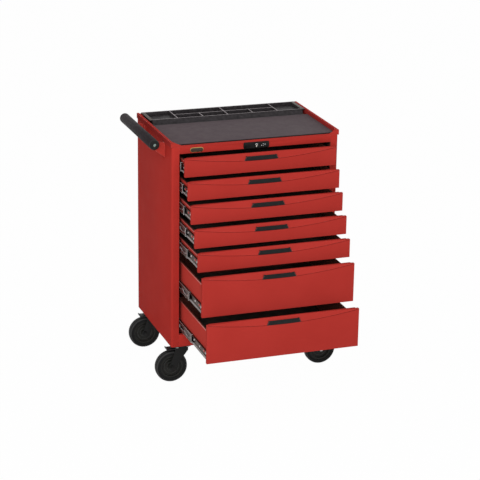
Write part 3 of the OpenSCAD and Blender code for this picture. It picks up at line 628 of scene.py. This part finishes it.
# A grip's end facets: width, depth, and the least that they look sideways and forwards.
GRIP_FACET_W = 3.6
GRIP_FACET_D = 1.0
GRIP_FACET_SIDE = 0.15
GRIP_FACET_FRONT = 0.3


def crease(half_width, top):
    """The outline of a thin line of painted shade along the fold under the curved strip, in the plane of the
    front.
    """
    slope = math.atan(CURVE_SET_BACK / CURVE_DROP)
    sag = CURVE_DROP * math.sin(slope)
    radius = (half_width ** 2 + sag ** 2) / (2 * sag)
    spots = [half_width * (2 * i / CREASE_STEPS - 1) for i in range(CREASE_STEPS + 1)]
    rise = [(radius - math.sqrt(radius ** 2 - x ** 2)) / math.sin(slope) for x in spots]
    line = [(x, top - CURVE_DROP + up) for x, up in zip(spots, rise)]
    return line + [(x, z - CREASE_W) for x, z in reversed(line)]


def box_top(node, behind):
    """The height of the top of a drawer's box, which lies behind its front."""
    bm = welded(node)
    top = max(vert.co.z for face in bm.faces if face.calc_center_median().y > behind for vert in face.verts)
    bm.free()
    return top


def make_drawer(n):
    """A drawer with rounded folds along its front face and a hem along the top of its box, both with a
    painted highlight. Its box is painted shade inside and painted light outside.
    """
    node = f"drawer_{n}"
    low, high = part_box(node)
    middle = (low.x + high.x) / 2

    # The back of the front lies right at this depth, so rounding decides whether its faces count as behind.
    behind = low.y + FRONT_DEPTH * MM
    hem = box_top(node, behind) - HEM_H * MM

    def paint(face):
        """0 for the front, 1 for the inside of the box in painted shade, 2 for its outside in painted light
        and 3 for the painted highlight on the hem.
        """
        spot = face.calc_center_median()
        outwards = face.normal.x * (spot.x - middle)
        if spot.y < behind:
            return 0
        if spot.z > hem and outwards > WELD:
            return 3
        return 1 if outwards < -WELD or face.normal.y < -FACING or face.normal.z > FACING else 2

    dressed(node, RED, SOFT["drawer"], fold_width=DRAWER_FOLD, segments=3, edge=EDGE_PAINTED_HIGHLIGHT,
            extra=(RED_INSIDE_PAINTED_SHADE, RED_PAINTED_LIGHT, HEM_PAINTED_HIGHLIGHT), bm=painted(node, paint, [(2, hem)]),
            fold=lambda edge: on_plane(edge, 1, low.y))


def make_crease_shade(n):
    """A line of painted shade along the fold under a front's curved strip."""
    node = f"drawer_{n}"
    low, high = box_mm(node)
    line = prism(crease(high.x - CREASE_IN, high.z - CREASE_DROP), low.y - MARK_FRONT, low.y - MARK_BACK)
    add_piece(f"drawer_crease_shade_{n}", mesh_from(line, f"drawer_crease_shade_{n}", smooth=False), (RED_PAINTED_SHADE,), node,
              location=place(0, 0, 0))


def make_liner(n):
    """The liner on a drawer's floor, a dark sheet that stands for the shade there."""
    node = f"drawer_{n}"
    low, high = box_mm(node)
    inset = SLIDE_SPACE - SIDE_GAP + DRAWER_SHEET + LINER_GAP
    floor = low.z + BOX_LIFT + DRAWER_SHEET
    liner = brick((low.x + inset, low.y + FRONT_DEPTH + LINER_GAP, floor),
                  (high.x - inset, high.y - DRAWER_SHEET - LINER_GAP, floor + LINER_T))
    piece = add_piece(f"drawer_shade_liner_{n}", mesh_from(liner, f"drawer_shade_liner_{n}"), (SHADE_LINER,), node,
                      location=place(0, 0, 0))
    soften(piece, SOFT["foam"])


def make_grip(n):
    """The grip in the middle of a drawer's curved strip. Its face stands above end facets with a painted
    highlight.
    """
    def ends(face):
        """1 for the facets at both ends, which take a painted highlight, and 0 for the rest."""
        return 1 if abs(face.normal.x) > GRIP_FACET_SIDE and face.normal.y < -GRIP_FACET_FRONT else 0

    node = f"drawer_grip_{n}"
    bm = join_flat(welded(node))
    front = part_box(node)[0].y + ON_PLANE
    face = max((f for f in bm.faces if f.calc_center_median().y < front), key=lambda f: f.calc_area())
    rim = list(face.verts)
    bmesh.ops.inset_individual(bm, faces=[face], thickness=GRIP_FACET_W * MM)
    for vert in rim:
        vert.co.y += GRIP_FACET_D * MM
    bm.normal_update()
    dressed(node, GRIP_PLASTIC, SOFT["grip"], extra=(GRIP_END_PAINTED_HIGHLIGHT,), segments=3, bm=bm, pick=ends)


for number in DRAWERS:
    make_drawer(number)
    make_crease_shade(number)
    make_liner(number)
    make_grip(number)


# ---- Lock and badge ----

LOCK_Z = (box_mm("lock_barrel")[0].z + box_mm("lock_barrel")[1].z) / 2
KEY_FACE = box_mm("lock_plug")[0].y
PLATE_FACE = box_mm("lock_plate")[0].y
FASCIA_FACE = box_mm("top_fascia")[0].y

# The painted highlight on the plug's upper edge, and the two round ends of the painted shine in its key slot
# below the middle.
SHINE_RADII = (6.2, 4.4)
SHINE_ARC = (30, 150)
SLOT_R = 1.7
SLOT_ENDS = (-2.2, -5.6)

# The plain marks beside the lock: middle from the lock's axis in X and Z, width and height.
MARKS = ((21, -3, 1.6, 3.2), (28, 2.4, 1.6, 2.4), (28, -4.6, 1.6, 2.4), (31.5, 0.4, 1.0, 4.4),
         (37, 0.2, 1.6, 3.2))
PLATE_MARK_FRONT = 0.2

# The badge's middle in X and Z and its size, then for each plate its material, margin and thickness.
BADGE_SPOT = (-239.5, LOCK_Z - 0.5)
BADGE_SIZE = (54, 19)
BADGE_PLATES = (("badge_rim", BADGE_RIM, 0, 1.2), ("badge_blank", BADGE, 2.2, 1.5))


def make_lock():
    """The cover plate, the barrel, the key plug with its painted shine, and the lock bar inside."""
    dressed("lock_plate", CAP_PLASTIC, SOFT["moulded"], segments=3)
    dressed("lock_barrel", CAP_PLASTIC, SOFT["drawer"])
    dressed("lock_plug", CHROME, SOFT["thin"])
    dressed("lock_bar", ZINC, SOFT["sheet"])
    outer, inner = SHINE_RADII
    start, end = SHINE_ARC
    ring = arc(0, 0, outer, start, end, steps=10) + arc(0, 0, inner, end, start, steps=10)
    slot = arc(0, SLOT_ENDS[0], SLOT_R, 0, 180) + arc(0, SLOT_ENDS[1], SLOT_R, 180, 360)
    for name, outline, material in (("lock_ring_shine", ring, WHITE_MARK_AND_HIGHLIGHT), ("lock_slot_shine", slot, SHINE)):
        shape = prism(outline, KEY_FACE - MARK_FRONT, KEY_FACE - MARK_BACK)
        add_piece(name, mesh_from(shape, name, smooth=False), (material,), BODY_OF["lock_plug"],
                  location=place(0, 0, LOCK_Z))


def make_marks():
    """Plain marks for locked and unlocked on the cover plate."""
    marks = [brick((x - w / 2, PLATE_FACE - PLATE_MARK_FRONT, z - h / 2),
                   (x + w / 2, PLATE_FACE - MARK_BACK, z + h / 2)) for x, z, w, h in MARKS]
    add_piece("lock_marks", mesh_from(merged(marks), "lock_marks", smooth=False), (WHITE_MARK_AND_HIGHLIGHT,),
              BODY_OF["lock_plate"], location=place(0, 0, LOCK_Z))


def make_badge():
    """A blank badge plate with a gilt rim at the left of the fascia."""
    half_w, half_h = BADGE_SIZE[0] / 2, BADGE_SIZE[1] / 2
    for name, material, margin, thickness in BADGE_PLATES:
        outline = stadium(-half_w + half_h, half_w - half_h, 0, half_h - margin)
        piece = add_piece(name, mesh_from(prism(outline, FASCIA_FACE - thickness, FASCIA_FACE), name),
                          (material,), BODY_OF["top_fascia"],
                          location=place(BADGE_SPOT[0], 0, BADGE_SPOT[1]))
        soften(piece, SOFT["sheet"])


make_lock()
make_marks()
make_badge()


# ---- Handle ----

# Half of a domed bolt head: radius, and height above the end cap.
BOLT_DOME = ((CORE_R, 0.3), (6.5, 0.3), (6.5, 1.2), (5, 2.8), (2.5, 3.6), (CORE_R, 3.8))


def make_handle():
    """The push handle and its gussets, with domed bolts in the end caps. The gussets' fronts are painted
    light, and their edges carry a painted highlight.
    """
    dressed("handle_brackets", RED_PANEL_PAINTED_LIGHT, SOFT["thick"], extra=(RED_PAINTED_LIGHT,), edge=EDGE_PAINTED_HIGHLIGHT,
            pick=lambda face: 1 if face.normal.y < -LEANING else 0)
    dressed("handle_tube", HANDLE_FOAM, SOFT["foam"])
    dressed("handle_end_caps", CAP_PLASTIC, SOFT["cap"], segments=4)
    low, high = box_mm("handle_end_caps")
    tube_low, tube_high = box_mm("handle_tube")
    axis = place((tube_low.x + tube_high.x) / 2, 0, (tube_low.z + tube_high.z) / 2)
    for name, face, way in (("front", low.y, -1), ("rear", high.y, 1)):
        bolt = lathe([(r, face + way * h) for r, h in BOLT_DOME], segments=32)
        add_piece(f"handle_bolt_{name}", mesh_from(bolt, f"handle_bolt_{name}"), (BOLT_STEEL,),
                  BODY_OF["handle_end_caps"], location=axis)


make_handle()


# ---- Slides ----

# Slots through the webs: start and end behind the member's front end, and radius.
MIDDLE_HOLES = ((12, 12, 3), (30, 62, 6), (82, 82, 4), (100, 140, 6), (165, 165, 4), (190, 230, 6),
                (265, 265, 4), (300, 350, 6), (380, 380, 4))
DRAWER_HOLES = ((36, 48, 4), (190, 202, 4), (280, 292, 4))
PAST_SIDE = 2

# Where the screws sit behind the front end. Then half of a screw's head: radius, and height above the web,
# which lies WEB_IN inside the member's outer side.
SCREWS = (18, 90, 160, 320)
SCREW_HEAD = ((CORE_R, -0.2), (4.2, -0.2), (4.2, 0.6), (2.6, 1.5), (CORE_R, 1.6))
WEB_IN = 7

# The ball retainer: where its two sides lie inside the member's outer side, how far it stands out of the
# front end, how far it reaches behind that end, and half its height.
RETAINER_IN = (6.2, 1.6)
RETAINER_NOSE = 0.5
RETAINER_LEN = 60
RETAINER_HALF_H = 10.5


def both_sides(parts):
    """The parts with their copies on the other side."""
    return merged(list(parts) + [mirrored(part) for part in parts])


def punched(node, holes):
    """A slide member with slots through its web, about its own centre height."""
    low, high = box_mm(node)
    bm = join_flat(welded(node))
    bmesh.ops.translate(bm, vec=-place(0, 0, (low.z + high.z) / 2), verts=bm.verts)
    reach = high.x + PAST_SIDE
    cutters = [prism(stadium(low.y + start, low.y + end, 0, radius), -reach, reach, "X")
               for start, end, radius in holes]
    return drilled(bm, cutters, node + "_punched")


def make_member(node, holes, edge):
    """A slide's moving member, its web in painted shade and its lower lips, ends and edges with a painted
    highlight.
    Returns where its centre height is.
    """
    def lips(face):
        """1 for the inside of a lower lip and for a front end, which take a painted highlight, and 0 for the
        rest.
        """
        lower = face.normal.z > LEANING and face.calc_center_median().z < 0
        return 1 if lower or face.normal.y < -LEANING else 0

    low, high = box_mm(node)
    spot = place(0, 0, (low.z + high.z) / 2)
    dressed(node, RAIL_WEB_PAINTED_SHADE, SOFT["moulded"], extra=(BRIGHT_STEEL_AND_HIGHLIGHT,), pick=lips, edge=edge,
            bm=punched(node, holes), location=spot)
    return spot


def make_middle_member(n):
    """The middle members of a drawer's two slides, with the ball retainers in their front ends."""
    node = f"middle_rails_{n}"
    spot = make_member(node, MIDDLE_HOLES, BRIGHT_STEEL_AND_HIGHLIGHT)
    low, high = box_mm(node)
    retainer = brick((high.x - RETAINER_IN[0], low.y - RETAINER_NOSE, -RETAINER_HALF_H),
                     (high.x - RETAINER_IN[1], low.y + RETAINER_LEN, RETAINER_HALF_H))
    piece = add_piece(f"ball_retainers_{n}", mesh_from(both_sides([retainer]), f"ball_retainers_{n}"),
                      (RETAINER_PLASTIC,), BODY_OF[node], location=spot)
    soften(piece, SOFT["thick"])


def make_drawer_member(n):
    """The drawer members of a drawer's two slides, with the screws that hold them to the box."""
    node = f"drawer_rails_{n}"
    spot = make_member(node, DRAWER_HOLES, RAIL_EDGE_PAINTED_HIGHLIGHT)
    low, high = box_mm(node)
    head = [(radius, high.x - WEB_IN + height) for radius, height in SCREW_HEAD]
    screws = [moved_back(lathe(head, segments=24, axis="X"), low.y + at) for at in SCREWS]
    add_piece(f"slide_screws_{n}", mesh_from(both_sides(screws), f"slide_screws_{n}"), (BRIGHT_STEEL_AND_HIGHLIGHT,),
              BODY_OF[node], location=spot)


for number in DRAWERS:
    make_middle_member(number)
    make_drawer_member(number)


# ---- Casters ----

# The hub's web is HUB_WEB from the middle, with raised rings between pairs of radii.
HUB_WEB = 5
HUB_RINGS = ((16, 19), (28.5, 31.5))
RING_RISE = 1.6
RING_SINK = 0.3
RING_ROUND = 0.7

# The tyre's wall, from the hub outwards: radius beyond the hub and depth, with a groove. Then the shoulder:
# radius short of the tread and depth. Its painted highlight lies between two such radii, down to a depth.
WALL = ((0, 0), (4.5, 0), (5.5, 1.3), (7, 1.3), (8, 0))
SHOULDER = ((5, 0), (1.2, 4), (0, 9))
TYRE_ROUND = 1.2
HIGHLIGHT_FROM, HIGHLIGHT_TO = 6, 1.5
HIGHLIGHT_DEPTH = 4.5


def rounded(profile, radius, steps=4):
    """A closed profile with its corners rounded."""
    points = []
    count = len(profile)
    for i, here in enumerate(profile):
        here = Vector(here)
        before = Vector(profile[i - 1]) - here
        after = Vector(profile[(i + 1) % count]) - here
        cut = min(radius, before.length / SIDE_SHARE, after.length / SIDE_SHARE)
        start, end = here + before.normalized() * cut, here + after.normalized() * cut
        for k in range(steps + 1):
            t = k / steps
            points.append(tuple((1 - t) ** 2 * start + 2 * t * (1 - t) * here + t ** 2 * end))
    return points


def make_tyre(tyre, hub):
    """A tyre with a groove in each wall and a painted highlight on its shoulders."""
    low, high = box_mm(tyre)
    hub_low, hub_high = box_mm(hub)
    inner, radius, half = (hub_high.z - hub_low.z) / 2, (high.z - low.z) / 2, (high.y - low.y) / 2
    side = [(inner + out, depth - half) for out, depth in WALL]
    side += [(radius - short, depth - half) for short, depth in SHOULDER]
    bm = lathe(rounded(side + [(r, -y) for r, y in reversed(side)], TYRE_ROUND, steps=3))
    for face in bm.faces:
        spot = face.calc_center_median() / MM
        if radius - HIGHLIGHT_FROM < spot.xz.length < radius - HIGHLIGHT_TO and abs(spot.y) > half - HIGHLIGHT_DEPTH:
            face.material_index = 1
    name = tyre + "_lathed"
    add_piece(name, mesh_from(bm, name), (TYRE, TYRE_PAINTED_HIGHLIGHT), BODY_OF[tyre], (tyre,),
              place(*((low + high) / 2)))


def make_hub(hub, tyre):
    """A hub with raised rings on both faces of its web, and a painted highlight on the rings and its edges.
    """
    dressed(hub, HUB, SOFT["panel"], edge=HUB_PAINTED_HIGHLIGHT)
    low, high = box_mm(tyre)
    rings = []
    for way in (-1, 1):
        foot, top = way * (HUB_WEB - RING_SINK), way * (HUB_WEB + RING_RISE)
        for near, far in HUB_RINGS:
            ring = [(near, foot), (far, foot), (far, top), (near, top)]
            rings.append(lathe(rounded(ring, RING_ROUND, steps=2), segments=64))
    add_piece(hub + "_rings", mesh_from(merged(rings), hub + "_rings"), (HUB_PAINTED_HIGHLIGHT,), BODY_OF[hub],
              location=place(*((low + high) / 2)))


def make_casters():
    """Forks, plates, pedals, wheels and all bolts."""
    for node in ("swivel_plates", "rigid_forks", "swivel_fork_front", "swivel_fork_rear"):
        dressed(node, DARK_STEEL, SOFT["moulded"])
    for row in ROWS:
        dressed(f"brake_pedal_{row}", PEDAL_PLASTIC, SOFT["moulded"])
        for side in WHEEL_SIDES:
            tyre, hub = f"tyre_{row}_{side}", f"hub_{row}_{side}"
            make_tyre(tyre, hub)
            make_hub(hub, tyre)
    dressed("bolts_and_screws", ZINC, SOFT["sheet"])


make_casters()


# ---- Stage and light ----

# The share of plain white that the camera sees on the floor leaves room for its shadow.
FLOOR_SIZE = 40
FLOOR_GREY = 0.6
FLOOR_WHITE = 0.985
WORLD_GREY = 0.40

# Square lamps: name, place and aim in metres of the frame, side, and watts.
LAMPS = (
    ("key", (-3.0, -4.9, 2.8), (0, 0, 0.5), 4.5, 300),
    ("fill", (3.0, -4.0, 3.0), (0, 0, 0.5), 2.5, 22),
    ("top", (0.2, 0.6, 4.6), (0, 0, 0.8), 2.5, 30),
)


def calculate(tree, operation, *values):
    """A Math node on sockets or plain numbers."""
    node = tree.nodes.new("ShaderNodeMath")
    node.operation = operation
    for socket, value in zip(node.inputs, values):
        if isinstance(value, (int, float)):
            socket.default_value = value
        else:
            tree.links.new(value, socket)
    return node.outputs[0]


def seen_white(tree, lit, white, share):
    """Mixes a lit shader with plain white for what the camera, gloss and glass see."""
    path = tree.nodes.new("ShaderNodeLightPath")
    seen = calculate(tree, "MAXIMUM", path.outputs["Is Camera Ray"], path.outputs["Is Glossy Ray"])
    seen = calculate(tree, "MAXIMUM", seen, path.outputs["Is Transmission Ray"])
    mix = tree.nodes.new("ShaderNodeMixShader")
    tree.links.new(calculate(tree, "MULTIPLY", seen, share), mix.inputs["Fac"])
    tree.links.new(lit, mix.inputs[1])
    tree.links.new(white, mix.inputs[2])
    return mix.outputs[0]


def make_floor():
    """A pale floor that keeps a soft shadow."""
    bpy.ops.mesh.primitive_plane_add(size=FLOOR_SIZE)
    floor = bpy.context.object
    floor.name = "floor"
    material = bpy.data.materials.new("floor")
    material.use_nodes = True
    tree = material.node_tree
    shader = tree.nodes["Principled BSDF"]
    shader.inputs["Base Color"].default_value = (FLOOR_GREY, FLOOR_GREY, FLOOR_GREY, 1)
    shader.inputs["Roughness"].default_value = 0.9
    shader.inputs["Specular IOR Level"].default_value = 0.1
    white = tree.nodes.new("ShaderNodeEmission")
    result = seen_white(tree, shader.outputs["BSDF"], white.outputs[0], FLOOR_WHITE)
    tree.links.new(result, tree.nodes["Material Output"].inputs["Surface"])
    floor.data.materials.append(material)


def make_world():
    """A soft grey surround that looks white."""
    world = bpy.data.worlds.new("studio")
    bpy.context.scene.world = world
    world.use_nodes = True
    tree = world.node_tree
    grey = tree.nodes["Background"]
    grey.inputs["Color"].default_value = (1, 1, 1, 1)
    grey.inputs["Strength"].default_value = WORLD_GREY
    white = tree.nodes.new("ShaderNodeBackground")
    white.inputs["Color"].default_value = (1, 1, 1, 1)
    white.inputs["Strength"].default_value = 1
    result = seen_white(tree, grey.outputs[0], white.outputs[0], 1.0)
    tree.links.new(result, tree.nodes["World Output"].inputs["Surface"])


def make_lamp(name, spot, aim, size, power):
    """A square soft lamp at a spot, turned towards a point."""
    data = bpy.data.lights.new(name, "AREA")
    data.size = size
    data.energy = power
    lamp = bpy.data.objects.new(name, data)
    bpy.context.scene.collection.objects.link(lamp)
    lamp.location = spot
    lamp.rotation_euler = (Vector(aim) - Vector(spot)).to_track_quat("-Z", "Y").to_euler()
    lamp.visible_glossy = False


make_floor()
make_world()
for lamp_facts in LAMPS:
    make_lamp(*lamp_facts)

bpy.context.scene.view_settings.view_transform = "Standard"
